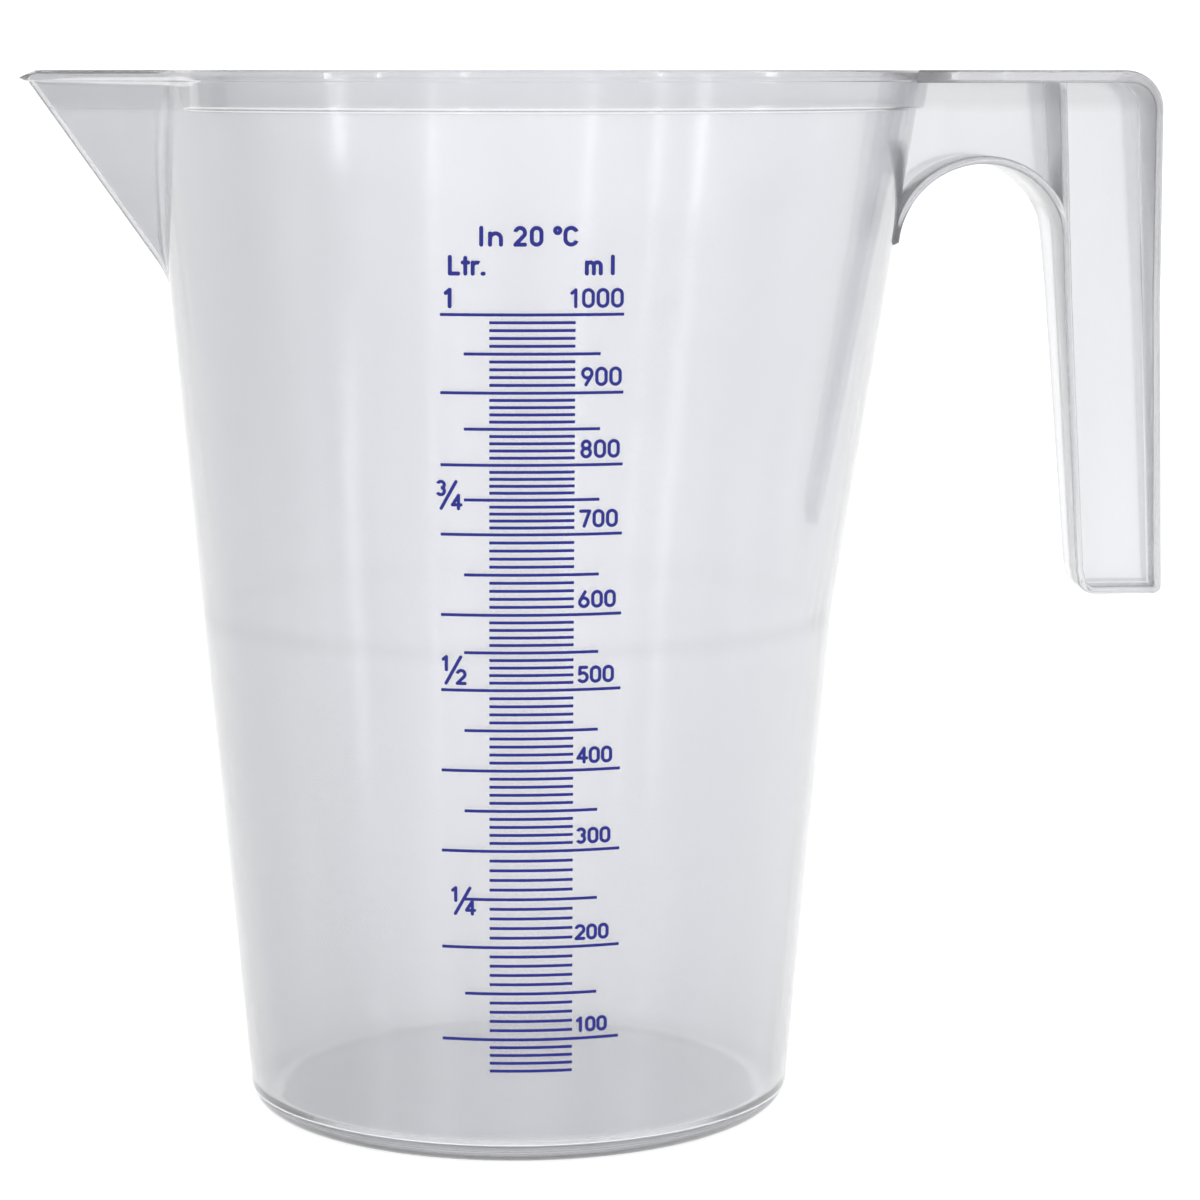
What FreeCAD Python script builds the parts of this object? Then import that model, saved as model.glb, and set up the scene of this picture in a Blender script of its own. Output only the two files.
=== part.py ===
import FreeCAD, Part
import math
import os

import Sketcher
from FreeCAD import Placement, Rotation, Vector

# A one-litre measuring jug: one translucent polypropylene moulding and the blue scale printed on it.
# +Z is up, the spout points to -X, the handle to +X and the printed scale faces -Y. The origin is on the
# vessel's axis, in the plane that the foot stands on. Millimetres throughout.
# The moulding is divided where a mould maker would name its regions: floor, walls, collar, spout, handle.

doc = FreeCAD.newDocument("MeasuringJug")
sheet = doc.addObject("Spreadsheet::Sheet", "Dims")

DIMENSIONS = {
    # vessel
    "wall": 1.5,
    "base_radius": 44.3,  # outer cone, extended down to the plane it stands on
    "corner_radius": 4.0,
    "inner_corner_radius": 2.2,
    "foot_height": 1.0,
    "foot_inner_radius": 38.9,
    "floor_top": 2.8,
    "wall_start": 5.0,
    "crease_height": 82.0,
    "crease_radius": 51.6,
    "rim_height": 169.5,
    "rim_radius": 62.3,
    "rim_shift": 3.2,  # the mouth's centre sits this far towards the handle
    "collar_height": 6.0,
    "collar_proud": 1.2,
    # spout
    "spout_reach": 79.5,
    "spout_root_reach": 56.1,
    "spout_root_height": 136.0,
    "spout_half_angle": 40.0,
    "spout_nose_radius": 3.0,
    "spout_side_length": 46.0,
    "lip_height": 1.7,
    "lip_proud": 0.5,
    "lip_cut_back": 3.4,
    "lip_cut_drop": 1.3,
    # handle
    "strap_thickness": 2.0,
    "strap_root_half_width": 32.0,
    "strap_flare_length": 19.5,
    "strap_flare_radius": 28.35,
    "strap_root_depth": 7.0,
    "strap_inner_end": 31.0,
    "flange": 1.3,
    "web": 2.0,
    "corner_x": 96.4,
    "corner_bend": 6.5,
    "back_x": 102.9,
    "back_foot_x": 106.0,
    "grip_bottom": 84.0,
    "grip_corner": 3.0,
    "finger_top_x": 85.7,
    "finger_foot_x": 91.9,
    "arch_x": 74.5,
    "arch_height": 141.2,
    "arch_radius": 13.4,
    "arch_end_height": 144.3,
    "arch_foot_height": 142.0,
    "grip_half_width_foot": 5.6,
    "grip_half_width_middle": 9.2,
    "grip_middle_height": 133.0,
    "grip_half_width_top": 15.5,
    # printed scale
    "ink": 0.12,
    "line_width": 0.45,
    "tick_half": 6.38,
    "half_line_half": 10.15,
    "main_line_half": 13.63,
    "lowest_mark": 15.7,
    "mark_100": 20.8,
    "mark_200": 35.7,
    "mark_300": 51.1,
    "mark_400": 63.8,
    "mark_500": 76.4,
    "mark_600": 88.1,
    "mark_700": 100.5,
    "mark_800": 111.1,
    "mark_900": 122.0,
    "mark_1000": 133.7,
    "glyph_height": 2.45,
    "numeral_growth": 0.049,  # each hundred's numeral is this much taller than the one below it
    "stroke": 0.5,
    "label_stroke": 0.6,
    "numeral_gap": 1.23,
    "numeral_right": 11.6,  # where the 100's last digit ends
    "numeral_step": 0.19,  # each further hundred ends this much further right, as the wall widens
    "one_left": -13.0,
    "fraction_digit": 2.0,
    "fraction_height": 4.1,
    "unit_baseline": 139.8,
    "litre_label_left": -12.15,
    "millilitre_label_left": 8.0,
    "note_baseline": 144.1,
    "note_left": -7.55,
    "note_spacing": 0.25,  # extra room after each letter of the note
}

for row, (alias, number) in enumerate(DIMENSIONS.items(), start=1):
    sheet.set(f"A{row}", alias.replace("_", " "))
    sheet.set(f"B{row}", str(number))
    sheet.setAlias(f"B{row}", alias)
doc.recompute()


class Size:
    """A length with its value now and the sheet expression that drives it."""

    def __init__(self, value, text):
        self.value = value
        self.text = text

    def joined(self, other, sign, value):
        other_text = other.text if isinstance(other, Size) else repr(other)
        return Size(value, f"({self.text} {sign} {other_text})")

    def __add__(self, other):
        return self.joined(other, "+", self.value + number_of(other))

    def __sub__(self, other):
        return self.joined(other, "-", self.value - number_of(other))

    def __mul__(self, other):
        return self.joined(other, "*", self.value * number_of(other))

    def __truediv__(self, other):
        return self.joined(other, "/", self.value / number_of(other))

    def __neg__(self):
        return Size(-self.value, f"(-{self.text})")


def number_of(thing):
    return thing.value if isinstance(thing, Size) else thing


def dim(alias):
    """The sheet's cell as a Size."""
    return Size(float(sheet.get(alias)), f"Dims.{alias}")


def value(alias):
    return float(sheet.get(alias))


def bind(item, prop, size):
    """Drives a property from the sheet."""
    item.setExpression(prop, size.text)


ZERO = Size(0.0, "0")


# ---- sketches on a body's own planes ----


def new_body(name):
    body = doc.addObject("PartDesign::Body", name)
    body.Label = name
    return body


def plane_of(body, role):
    return next(f for f in body.Origin.OriginFeatures if f.Role == role)


def arc_through(start, end, radius):
    """The arc from start to end, turning left for a positive radius and right for a negative one."""
    (ax, ay), (bx, by) = start, end
    chord = math.hypot(bx - ax, by - ay)
    rise = math.sqrt(max(radius * radius - chord * chord / 4, 0.0))
    side = 1 if radius > 0 else -1
    nx, ny = -(by - ay) / chord * side, (bx - ax) / chord * side
    centre = Vector((ax + bx) / 2 + nx * rise, (ay + by) / 2 + ny * rise, 0)
    turn_start = math.atan2(ay - centre.y, ax - centre.x)
    turn_end = math.atan2(by - centre.y, bx - centre.x)
    circle = Part.Circle(centre, Vector(0, 0, 1), abs(radius))
    if radius > 0:
        return Part.ArcOfCircle(circle, turn_start, turn_end), True
    return Part.ArcOfCircle(circle, turn_end, turn_start), False


def outline(body, name, role, corners, bends=None):
    """A closed sketch through corners, pairs of Sizes. bends[i] is the radius of the arc leaving corner i."""
    sketch = body.newObject("Sketcher::SketchObject", name)
    sketch.AttachmentSupport = [(plane_of(body, role), "")]
    sketch.MapMode = "FlatFace"
    bends = bends or {}
    count = len(corners)
    places = [(x.value, y.value) for x, y in corners]
    first_points = []
    for index in range(count):
        start, end = places[index], places[(index + 1) % count]
        if index in bends:
            shape, forward = arc_through(start, end, bends[index].value)
        else:
            shape, forward = Part.LineSegment(Vector(*start, 0), Vector(*end, 0)), True
        sketch.addGeometry(shape, False)
        first_points.append(1 if forward else 2)
    for index in range(count):
        after = (index + 1) % count
        last = 3 - first_points[index]
        sketch.addConstraint(Sketcher.Constraint("Coincident", index, last, after, first_points[after]))
    for index, corner in enumerate(corners):
        for kind, size in zip(("DistanceX", "DistanceY"), corner):
            made = sketch.addConstraint(
                Sketcher.Constraint(kind, -1, 1, index, first_points[index], size.value)
            )
            bind(sketch, f"Constraints[{made}]", size)
    for index, radius in bends.items():
        made = sketch.addConstraint(Sketcher.Constraint("Radius", index, abs(radius.value)))
        bind(sketch, f"Constraints[{made}]", radius if radius.value > 0 else -radius)
    sketch.Visibility = False
    return sketch


def revolved(name, corners, bends=None):
    """A body turned about the vessel's axis from an outline of (radius, height) corners."""
    body = new_body(name)
    sketch = outline(body, name + "_profile", "XZ_Plane", corners, bends)
    turn = body.newObject("PartDesign::Revolution", name + "_turn")
    turn.Profile = sketch
    turn.ReferenceAxis = (sketch, ["V_Axis"])
    turn.Angle = 360.0
    body.Tip = turn
    return body


def plate(name, corners, bends, width):
    """A body padded both ways from the handle's middle plane, from an outline of (x, height) corners."""
    body = new_body(name)
    sketch = outline(body, name + "_profile", "XZ_Plane", corners, bends)
    pad = body.newObject("PartDesign::Pad", name + "_pad")
    pad.Profile = sketch
    pad.Midplane = True
    bind(pad, "Length", width)
    body.Tip = pad
    return body


# ---- Part features ----


def boolean(kind, name, base, tool):
    made = doc.addObject("Part::" + kind, name)
    made.Base = base
    made.Tool = tool
    return made


def fused(name, shapes):
    made = doc.addObject("Part::MultiFuse", name)
    made.Shapes = shapes
    return made


def ring_circle(name, radius, height, shift):
    """A level circle whose seam is turned away from the spout, the handle and the printed front."""
    circle = doc.addObject("Part::Circle", name)
    circle.Placement = Placement(Vector(), Rotation(Vector(0, 0, 1), 135))
    bind(circle, "Radius", radius)
    bind(circle, "Placement.Base.x", shift)
    bind(circle, "Placement.Base.z", height)
    return circle


def slanted_cone(name, low, high):
    """A solid between two level circles, each given as (radius, height, shift)."""
    loft = doc.addObject("Part::Loft", name)
    loft.Sections = [ring_circle(name + "_low", *low), ring_circle(name + "_high", *high)]
    loft.Solid = True
    loft.Ruled = True
    return loft


# ---- vessel: two straight tapers that meet in a crease; the upper one leans so its mouth shifts ----

LOWER_SLOPE = (dim("crease_radius") - dim("base_radius")) / dim("crease_height")
UPPER_RISE = dim("rim_height") - dim("crease_height")
UPPER_SLOPE = (dim("rim_radius") - dim("crease_radius")) / UPPER_RISE
UPPER_LEAN = dim("rim_shift") / UPPER_RISE


def lower_radius(height):
    return dim("base_radius") + LOWER_SLOPE * height


def upper_circle(height, grow):
    """(radius, height, shift) of the leaning taper's outer circle at a height, grown outwards."""
    climb = height - dim("crease_height")
    return dim("crease_radius") + UPPER_SLOPE * climb + grow, height, UPPER_LEAN * climb


CORNER_CENTRE = lower_radius(dim("corner_radius")) - dim("corner_radius") * math.hypot(1, LOWER_SLOPE.value)
FOOT_TOP_BELOW_CENTRE = value("corner_radius") - value("foot_height")
FOOT_TOP_OFFSET = math.sqrt(value("corner_radius") ** 2 - FOOT_TOP_BELOW_CENTRE**2)
LEAN = math.atan(LOWER_SLOPE.value)


def make_foot_ring():
    corners = [
        (dim("foot_inner_radius"), ZERO),
        (CORNER_CENTRE, ZERO),
        (CORNER_CENTRE + FOOT_TOP_OFFSET, dim("foot_height")),
        (dim("foot_inner_radius"), dim("foot_height")),
    ]
    return revolved("foot_ring", corners, {1: dim("corner_radius")})


INNER_START = lower_radius(dim("wall_start")) - dim("wall")
FLOOR_RADIUS = INNER_START - dim("inner_corner_radius")


def make_vessel_floor():
    corners = [
        (ZERO, dim("foot_height")),
        (FLOOR_RADIUS, dim("foot_height")),
        (FLOOR_RADIUS, dim("floor_top")),
        (ZERO, dim("floor_top")),
    ]
    return revolved("vessel_floor", corners)


def make_base_corner():
    """The rounded ring that turns the floor up into the wall."""
    corners = [
        (FLOOR_RADIUS, dim("foot_height")),
        (CORNER_CENTRE + FOOT_TOP_OFFSET, dim("foot_height")),
        (
            CORNER_CENTRE + dim("corner_radius") * math.cos(LEAN),
            dim("corner_radius") - dim("corner_radius") * math.sin(LEAN),
        ),
        (lower_radius(dim("wall_start")), dim("wall_start")),
        (INNER_START, dim("wall_start")),
        (FLOOR_RADIUS, dim("floor_top")),
    ]
    bends = {1: dim("corner_radius"), 4: -dim("inner_corner_radius")}
    return revolved("base_corner", corners, bends)


def make_lower_wall():
    corners = [
        (INNER_START, dim("wall_start")),
        (lower_radius(dim("wall_start")), dim("wall_start")),
        (dim("crease_radius"), dim("crease_height")),
        (dim("crease_radius") - dim("wall"), dim("crease_height")),
    ]
    return revolved("lower_wall", corners)


CREASE = dim("crease_height")
COLLAR_FOOT = dim("rim_height") - dim("collar_height")
BEYOND = 10.0  # how far a cutting solid runs past what it cuts


def make_vessel_solids():
    """The leaning taper as solids for cutting: its outside, its inside and the collar's outside."""
    rim = dim("rim_height")
    outside = slanted_cone("taper_outside", upper_circle(CREASE, ZERO), upper_circle(COLLAR_FOOT, ZERO))
    inside_low = upper_circle(CREASE, -dim("wall"))
    inside = slanted_cone("taper_inside", inside_low, upper_circle(rim, -dim("wall")))
    collar_low = upper_circle(COLLAR_FOOT, dim("collar_proud"))
    collar = slanted_cone("collar_outside", collar_low, upper_circle(rim, dim("collar_proud")))
    whole = fused("vessel_outside", [outside, collar])
    return outside, inside, collar, whole


# ---- spout: a sheared V channel whose nose line runs from the wall up to the tip ----


def nose_outline(body, name, reach, radius):
    """The V in plan, its rounded nose at -reach, open towards the vessel."""
    half = math.radians(value("spout_half_angle"))
    centre = radius - reach
    touch_x = centre - radius * math.sin(half)
    touch_y = radius * math.cos(half)
    run_x = dim("spout_side_length") * math.cos(half)
    run_y = dim("spout_side_length") * math.sin(half)
    corners = [
        (touch_x + run_x, -(touch_y + run_y)),
        (touch_x + run_x, touch_y + run_y),
        (touch_x, touch_y),
        (touch_x, -touch_y),
    ]
    return outline(body, name, "XY_Plane", corners, {2: radius})


def channel(name, grow, top, top_reach, root_height, root_reach):
    """A solid V lofted from the root up to the top, its sides moved out by grow."""
    body = new_body(name)
    radius = dim("spout_nose_radius") + grow
    low = nose_outline(body, name + "_root", root_reach + grow, radius)
    bind(low, "AttachmentOffset.Base.z", root_height)
    high = nose_outline(body, name + "_top", top_reach + grow, radius)
    bind(high, "AttachmentOffset.Base.z", top)
    loft = body.newObject("PartDesign::AdditiveLoft", name + "_loft")
    loft.Profile = low
    loft.Sections = [high]
    loft.Ruled = True
    body.Tip = loft
    return body


def make_spout_solids():
    rise = dim("rim_height") - dim("spout_root_height")
    slope = (dim("spout_reach") - dim("spout_root_reach")) / rise

    def reach_at(height):
        return dim("spout_root_reach") + slope * (height - dim("spout_root_height"))

    rim = dim("rim_height")
    lip_foot = rim - dim("lip_height")
    root = dim("spout_root_height")
    below = root - BEYOND
    above = rim + BEYOND
    outer = channel("channel_outside", ZERO, lip_foot, reach_at(lip_foot), below, reach_at(below))
    inner = channel("channel_inside", -dim("wall"), above, reach_at(above), below, reach_at(below))
    lip = channel("lip_outside", dim("lip_proud"), rim, reach_at(rim), lip_foot, reach_at(lip_foot))
    return outer, inner, lip


def make_nose_trim():
    """The wedge that takes the sharp top off the lip's nose."""
    reach = dim("spout_reach") + dim("lip_proud")
    rim = dim("rim_height")
    slope = dim("lip_cut_drop") / dim("lip_cut_back")
    corners = [
        (-(reach - dim("lip_cut_back")), rim),
        (-(reach - dim("lip_cut_back")), rim + BEYOND),
        (-(reach + BEYOND), rim + BEYOND),
        (-(reach + BEYOND), rim - dim("lip_cut_drop") - slope * BEYOND),
    ]
    return plate("nose_trim", corners, None, dim("strap_root_half_width") * 2)


# ---- handle: flanges along its outline, cross rib and thin webs between them ----


def finger_x(height):
    """The finger face's x at a height: a straight line that leans with the mould's draft."""
    lean = (dim("finger_foot_x") - dim("finger_top_x")) / (dim("rim_height") - dim("grip_bottom"))
    return dim("finger_top_x") + lean * (dim("rim_height") - height)


def back_x(height):
    """The back face's x at a height."""
    start = dim("rim_height") - dim("corner_bend")
    lean = (dim("back_foot_x") - dim("back_x")) / (start - dim("grip_bottom"))
    return dim("back_x") + lean * (start - height)


FLANGE_WIDTH = dim("grip_half_width_top") * 2 + 2 * BEYOND
STRAP_FOOT = dim("rim_height") - dim("strap_thickness")
BOTTOM_TOP = dim("grip_bottom") + dim("flange")
BEND_START = dim("rim_height") - dim("corner_bend")
ARCH_OUTER = dim("arch_radius") + dim("flange")
LEANING_CORNER = 1.02  # the finger face leans, so an arc through its corner's ends is slightly flatter


def make_width_envelope():
    """The handle's width seen along X: narrow at the foot of the grip, flaring towards the strap."""
    body = new_body("width_envelope")
    low, middle, high = dim("grip_bottom"), dim("grip_middle_height"), dim("rim_height")
    foot, waist, top = (dim("grip_half_width_" + n) for n in ("foot", "middle", "top"))
    corners = [(-foot, low), (foot, low), (waist, middle), (top, high), (-top, high), (-waist, middle)]
    sketch = outline(body, "width_envelope_profile", "YZ_Plane", corners)
    pad = body.newObject("PartDesign::Pad", "width_envelope_pad")
    pad.Profile = sketch
    bind(pad, "Length", dim("back_foot_x") + BEYOND)
    body.Tip = pad
    return body


def make_top_strap(vessel):
    """The level strap, flared where it leaves the rim."""
    body = new_body("strap_blank")
    root = dim("strap_root_half_width")
    top = dim("grip_half_width_top")
    end = dim("corner_x")
    start = dim("strap_inner_end")
    flare_end = dim("rim_radius") + dim("strap_flare_length")
    root_x = dim("rim_radius") - dim("strap_root_depth")
    corners = [
        (start, -root),
        (root_x, -root),
        (flare_end, -top),
        (end, -top),
        (end, top),
        (flare_end, top),
        (root_x, root),
        (start, root),
    ]
    bends = {1: -dim("strap_flare_radius"), 5: -dim("strap_flare_radius")}
    sketch = outline(body, "strap_plan", "XY_Plane", corners, bends)
    bind(sketch, "AttachmentOffset.Base.z", STRAP_FOOT)
    pad = body.newObject("PartDesign::Pad", "strap_pad")
    pad.Profile = sketch
    bind(pad, "Length", dim("strap_thickness"))
    body.Tip = pad
    return boolean("Cut", "handle_top_strap", body, vessel)


def make_back_flange(envelope):
    inner_bend = dim("corner_bend") - dim("flange")
    corners = [
        (dim("corner_x"), STRAP_FOOT),
        (back_x(BEND_START) - dim("flange"), BEND_START),
        (back_x(dim("grip_bottom")) - dim("flange"), dim("grip_bottom")),
        (back_x(dim("grip_bottom")), dim("grip_bottom")),
        (back_x(BEND_START), BEND_START),
        (dim("corner_x"), dim("rim_height")),
    ]
    bends = {0: -inner_bend, 4: dim("corner_bend")}
    blank = plate("back_flange_blank", corners, bends, FLANGE_WIDTH)
    return boolean("Common", "handle_back_flange", blank, envelope)


def make_bottom_flange(envelope):
    low = dim("grip_bottom")
    bend = dim("grip_corner")
    corners = [
        (finger_x(low) + bend, low),
        (back_x(low) - dim("flange"), low),
        (back_x(BOTTOM_TOP) - dim("flange"), BOTTOM_TOP),
        (finger_x(low) + bend, BOTTOM_TOP),
        (finger_x(low + bend) + dim("flange"), low + bend),
        (finger_x(low + bend), low + bend),
    ]
    bends = {3: -(bend - dim("flange")) * LEANING_CORNER, 5: bend * LEANING_CORNER}
    blank = plate("bottom_flange_blank", corners, bends, FLANGE_WIDTH)
    return boolean("Common", "grip_bottom_flange", blank, envelope)


def make_finger_flange(envelope):
    low = dim("grip_bottom") + dim("grip_corner")
    high = dim("arch_end_height")
    corners = [
        (finger_x(low), low),
        (finger_x(low) + dim("flange"), low),
        (finger_x(high) + dim("flange"), high),
        (finger_x(high), high),
    ]
    blank = plate("finger_flange_blank", corners, None, FLANGE_WIDTH)
    return boolean("Common", "grip_finger_flange", blank, envelope)


def arch_block(name, radius):
    """A drum across the handle, for the arch's two faces."""
    drum = doc.addObject("Part::Cylinder", name)
    bind(drum, "Radius", radius)
    bind(drum, "Height", FLANGE_WIDTH)
    drum.Placement = Placement(Vector(), Rotation(Vector(1, 0, 0), 90))
    bind(drum, "Placement.Base.x", dim("arch_x"))
    bind(drum, "Placement.Base.y", FLANGE_WIDTH / 2)
    bind(drum, "Placement.Base.z", dim("arch_height"))
    return drum


def make_arch_flange(envelope, vessel):
    """The arch over the fingers, from the wall of the vessel to the finger flange."""
    drum = arch_block("arch_outside", ARCH_OUTER)
    hollow = arch_block("arch_inside", dim("arch_radius"))
    ring = boolean("Cut", "arch_ring", drum, hollow)
    end = dim("arch_end_height")
    left = dim("arch_x") - ARCH_OUTER - BEYOND
    # Beyond the finger face the arch turns into the flange, so its blank follows that face's line.
    corners = [
        (left, dim("arch_foot_height")),
        (dim("arch_x"), dim("arch_foot_height")),
        (dim("arch_x"), end),
        (finger_x(end) + dim("flange"), end),
        (finger_x(end + ARCH_OUTER) + dim("flange"), end + ARCH_OUTER),
        (left, end + ARCH_OUTER),
    ]
    keep = plate("arch_keep", corners, None, FLANGE_WIDTH)
    arch = boolean("Common", "arch_cropped", ring, keep)
    narrowed = boolean("Common", "arch_narrowed", arch, envelope)
    return drum, boolean("Cut", "handle_arch_flange", narrowed, vessel)


def make_cross_rib(envelope, drum):
    """The rib that carries the finger flange's line up to the strap, right across the handle."""
    low, high = dim("arch_height"), STRAP_FOOT
    corners = [
        (finger_x(low), low),
        (finger_x(low) + dim("flange"), low),
        (finger_x(high) + dim("flange"), high),
        (finger_x(high), high),
    ]
    blank = plate("rib_blank", corners, None, FLANGE_WIDTH)
    above = boolean("Cut", "rib_above_arch", blank, drum)
    return boolean("Common", "handle_cross_rib", above, envelope)


def make_bridge_web(vessel, drum):
    """The thin web between the vessel's wall, the strap, the arch and the cross rib."""
    low, high = dim("arch_height"), STRAP_FOOT
    start = dim("arch_x") - ARCH_OUTER - BEYOND
    corners = [(start, low), (finger_x(low), low), (finger_x(high), high), (start, high)]
    blank = plate("bridge_web_blank", corners, None, dim("web"))
    trimmed = boolean("Cut", "bridge_web_trimmed", blank, drum)
    return boolean("Cut", "handle_bridge_web", trimmed, vessel)


def make_grip_web():
    """The thin web inside the grip's flanges."""
    low = dim("grip_bottom")
    bend = dim("grip_corner")
    inner_bend = dim("corner_bend") - dim("flange")
    corners = [
        (finger_x(low) + bend, BOTTOM_TOP),
        (back_x(BOTTOM_TOP) - dim("flange"), BOTTOM_TOP),
        (back_x(BEND_START) - dim("flange"), BEND_START),
        (dim("corner_x"), STRAP_FOOT),
        (finger_x(STRAP_FOOT) + dim("flange"), STRAP_FOOT),
        (finger_x(low + bend) + dim("flange"), low + bend),
    ]
    bends = {2: inner_bend, 5: (bend - dim("flange")) * LEANING_CORNER}
    return plate("grip_web", corners, bends, dim("web"))


# ---- printed scale: strokes laid on the front of the wall, one ink film thick ----

PRINT_NEAR = -90.0  # the cutting prisms run from in front of the jug to inside its wall
PRINT_DEPTH = 60.0


def ink_film():
    """The thin layer over the outside of both tapers, which every mark is cut from."""

    def level(radius, height, shift):
        circle = Part.makeCircle(radius, Vector(shift, 0, height), Vector(0, 0, 1))
        circle.rotate(Vector(shift, 0, height), Vector(0, 0, 1), 135)
        return Part.Wire([circle])

    def taper(low, high, grow):
        wires = [level(r.value + grow, z.value, x.value) for r, z, x in (low, high)]
        return Part.makeLoft(wires, True, True)

    start = dim("wall_start")
    lower = [(lower_radius(start), start, ZERO), (dim("crease_radius"), CREASE, ZERO)]
    upper = [upper_circle(CREASE, ZERO), upper_circle(COLLAR_FOOT, ZERO)]
    ink = value("ink")
    return [taper(low, high, ink).cut(taper(low, high, 0.0)) for low, high in (lower, upper)]


def bar(x_from, x_to, height):
    """A level line of the scale, as a prism that reaches through the film."""
    width = value("line_width")
    corner = Vector(x_from, PRINT_NEAR, height - width / 2)
    return Part.makeBox(x_to - x_from, PRINT_DEPTH, width, corner)


def pen_line(start, end, width):
    """A straight stroke with round ends, as a face in the XZ plane."""
    (ax, az), (bx, bz) = start, end
    length = math.hypot(bx - ax, bz - az)
    sx, sz = -(bz - az) / length * width / 2, (bx - ax) / length * width / 2
    ex, ez = (bx - ax) / length * width / 2, (bz - az) / length * width / 2

    def at(x, z):
        return Vector(x, 0, z)

    edges = [
        Part.LineSegment(at(ax - sx, az - sz), at(bx - sx, bz - sz)).toShape(),
        Part.Arc(at(bx - sx, bz - sz), at(bx + ex, bz + ez), at(bx + sx, bz + sz)).toShape(),
        Part.LineSegment(at(bx + sx, bz + sz), at(ax + sx, az + sz)).toShape(),
        Part.Arc(at(ax + sx, az + sz), at(ax - ex, az - ez), at(ax - sx, az - sz)).toShape(),
    ]
    return Part.Face(Part.Wire(edges))


def pen_arc(centre, radius, start, end, width):
    """A curved stroke, its angles in degrees, as a face in the XZ plane."""
    cx, cz = centre
    axis = Vector(0, -1, 0)

    def disc(size):
        return Part.Face(Part.Wire([Part.makeCircle(size, Vector(cx, 0, cz), axis)]))

    ring = disc(radius + width / 2).cut(disc(radius - width / 2))
    if end - start >= 360:
        return ring
    reach = radius + width
    steps = max(2, math.ceil((end - start) / 60))
    rim = []
    for step in range(steps + 1):
        angle = math.radians(start + (end - start) * step / steps)
        rim.append(Vector(cx + 2 * reach * math.cos(angle), 0, cz + 2 * reach * math.sin(angle)))
    hub = Vector(cx, 0, cz)
    sector = Part.Face(Part.makePolygon([hub] + rim + [hub]))
    return ring.common(sector)


# Each glyph: its advance, then strokes in grid units. Three numbers and a centre make an arc.
GLYPHS = {
    "0": (
        4.6,
        [
            ((0, 1.5), (0, 3.7)),
            ((3, 1.5), (3, 3.7)),
            ((1.5, 3.7), 1.5, 0, 180),
            ((1.5, 1.5), 1.5, 180, 360),
        ],
    ),
    "1": (4.2, [((1.7, 0), (1.7, 5.2)), ((1.7, 5.2), (0.5, 4.2))]),
    "2": (4.6, [((1.5, 3.7), 1.5, -35, 170), ((2.73, 2.84), (0, 0)), ((0, 0), (3, 0))]),
    "3": (4.6, [((1.5, 3.9), 1.3, -90, 160), ((1.45, 1.4), 1.4, -155, 90)]),
    "4": (4.6, [((2.3, 0), (2.3, 5.2)), ((2.3, 5.2), (0, 1.5)), ((0, 1.5), (3.2, 1.5))]),
    "5": (4.6, [((2.8, 5.2), (0.5, 5.2)), ((0.5, 5.2), (0.3, 2.8)), ((1.45, 1.6), 1.6, -155, 128)]),
    "6": (4.6, [((1.5, 1.5), 1.5, 0, 360), ((0.15, 2.2), (1.9, 5.2))]),
    "7": (4.6, [((0, 5.2), (3, 5.2)), ((3, 5.2), (1.2, 0))]),
    "8": (4.6, [((1.5, 3.95), 1.25, 0, 360), ((1.5, 1.4), 1.4, 0, 360)]),
    "9": (4.6, [((1.5, 3.7), 1.5, 0, 360), ((2.85, 3), (1.1, 0))]),
    "L": (4.0, [((0, 5.2), (0, 0)), ((0, 0), (2.6, 0))]),
    "I": (2.2, [((0, 0), (0, 5.2))]),
    "C": (4.4, [((1.8, 3.4), 1.8, 20, 180), ((0, 1.8), (0, 3.4)), ((1.8, 1.8), 1.8, 180, 340)]),
    "t": (3.1, [((0.8, 0), (0.8, 4.9)), ((0, 3.5), (1.7, 3.5))]),
    "r": (3.1, [((0, 0), (0, 3.5)), ((1.3, 2.2), 1.3, 55, 180)]),
    "n": (5.2, [((0, 0), (0, 3.5)), ((1.7, 1.8), 1.7, 0, 180), ((3.4, 0), (3.4, 1.8))]),
    "m": (
        8.2,
        [
            ((0, 0), (0, 3.5)),
            ((1.1, 2.4), 1.1, 0, 180),
            ((2.2, 0), (2.2, 2.4)),
            ((3.3, 2.4), 1.1, 0, 180),
            ((4.4, 0), (4.4, 2.4)),
        ],
    ),
    "l": (2.0, [((0, 0), (0, 5.2))]),
    ".": (1.5, [((0, 0), (0.3, 0))]),
    "°": (2.7, [((0.8, 4.4), 0.8, 0, 360)]),
    " ": (1.6, []),
}
GRID = 5.2  # the grid's height, in units
DIGIT_STROKE_SPAN = 3.0  # a digit's width on the grid, without its spacing


def drawn_glyph(letter, left, base, height, width):
    """One glyph as a prism through the film, its strokes fused."""
    unit = height / GRID
    faces = []
    for stroke in GLYPHS[letter][1]:
        if len(stroke) == 2:
            (ax, az), (bx, bz) = stroke
            start = (left + ax * unit, base + az * unit)
            end = (left + bx * unit, base + bz * unit)
            faces.append(pen_line(start, end, width))
        else:
            (cx, cz), radius, first, last = stroke
            centre = (left + cx * unit, base + cz * unit)
            faces.append(pen_arc(centre, radius * unit, first, last, width))
    prisms = []
    for face in faces:
        face.translate(Vector(0, PRINT_NEAR, 0))
        prisms.append(face.extrude(Vector(0, PRINT_DEPTH, 0)))
    if len(prisms) == 1:
        return prisms[0]
    return prisms[0].multiFuse(prisms[1:])


def text_width(text, height):
    unit = height / GRID
    gap = GLYPHS[text[-1]][0] - DIGIT_STROKE_SPAN
    return (sum(GLYPHS[letter][0] for letter in text) - gap) * unit


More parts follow.
